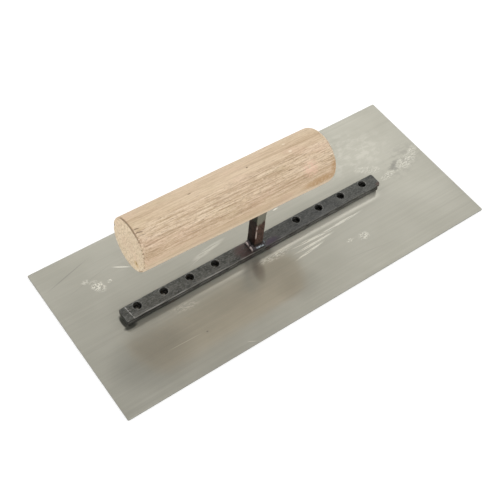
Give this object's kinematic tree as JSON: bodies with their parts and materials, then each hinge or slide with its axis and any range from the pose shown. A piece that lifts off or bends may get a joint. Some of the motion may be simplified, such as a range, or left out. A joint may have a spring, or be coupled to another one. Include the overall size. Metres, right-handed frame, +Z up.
{
  "type": "finishing trowel",
  "caption": "Steel finishing trowel: thin flat rectangular blade, riveted folded mounting channel, welded upright post and turned wooden handle.",
  "frame": {"origin": "centre of the blade's underside (the sole), which is also the bottom centre of the object's box", "axes": "+X along the blade's length towards the handle's thicker end, +Y across the blade away from the channel's slit, +Z up from the sole to the handle"},
  "size_m": [0.2794, 0.1142, 0.0872],
  "materials": {
    "blade_steel": "satin rolled steel with fine lengthwise streaks, dull smears and a light stain",
    "blackened_steel": "dark mill scale, worn bright along the upper front edge",
    "rivet_steel": "dull steel, tails ground flush with the sole",
    "rusted_steel": "dark purple-brown rust over black steel, greyer at the top",
    "weld_metal": "rippled weld metal, blue-grey with a pinkish tint",
    "raw_hardwood": "unvarnished pale hardwood, coarse lengthwise pores"
  },
  "bodies": {
    "root": {"blade": "blade_steel", "mounting_channel": "blackened_steel", "rivet_1": "rivet_steel", "rivet_2": "rivet_steel", "rivet_3": "rivet_steel", "rivet_4": "rivet_steel", "rivet_5": "rivet_steel", "rivet_6": "rivet_steel", "rivet_7": "rivet_steel", "rivet_8": "rivet_steel", "post": "rusted_steel", "weld_bead": "weld_metal", "handle": "raw_hardwood"}
  },
  "joints": []
}
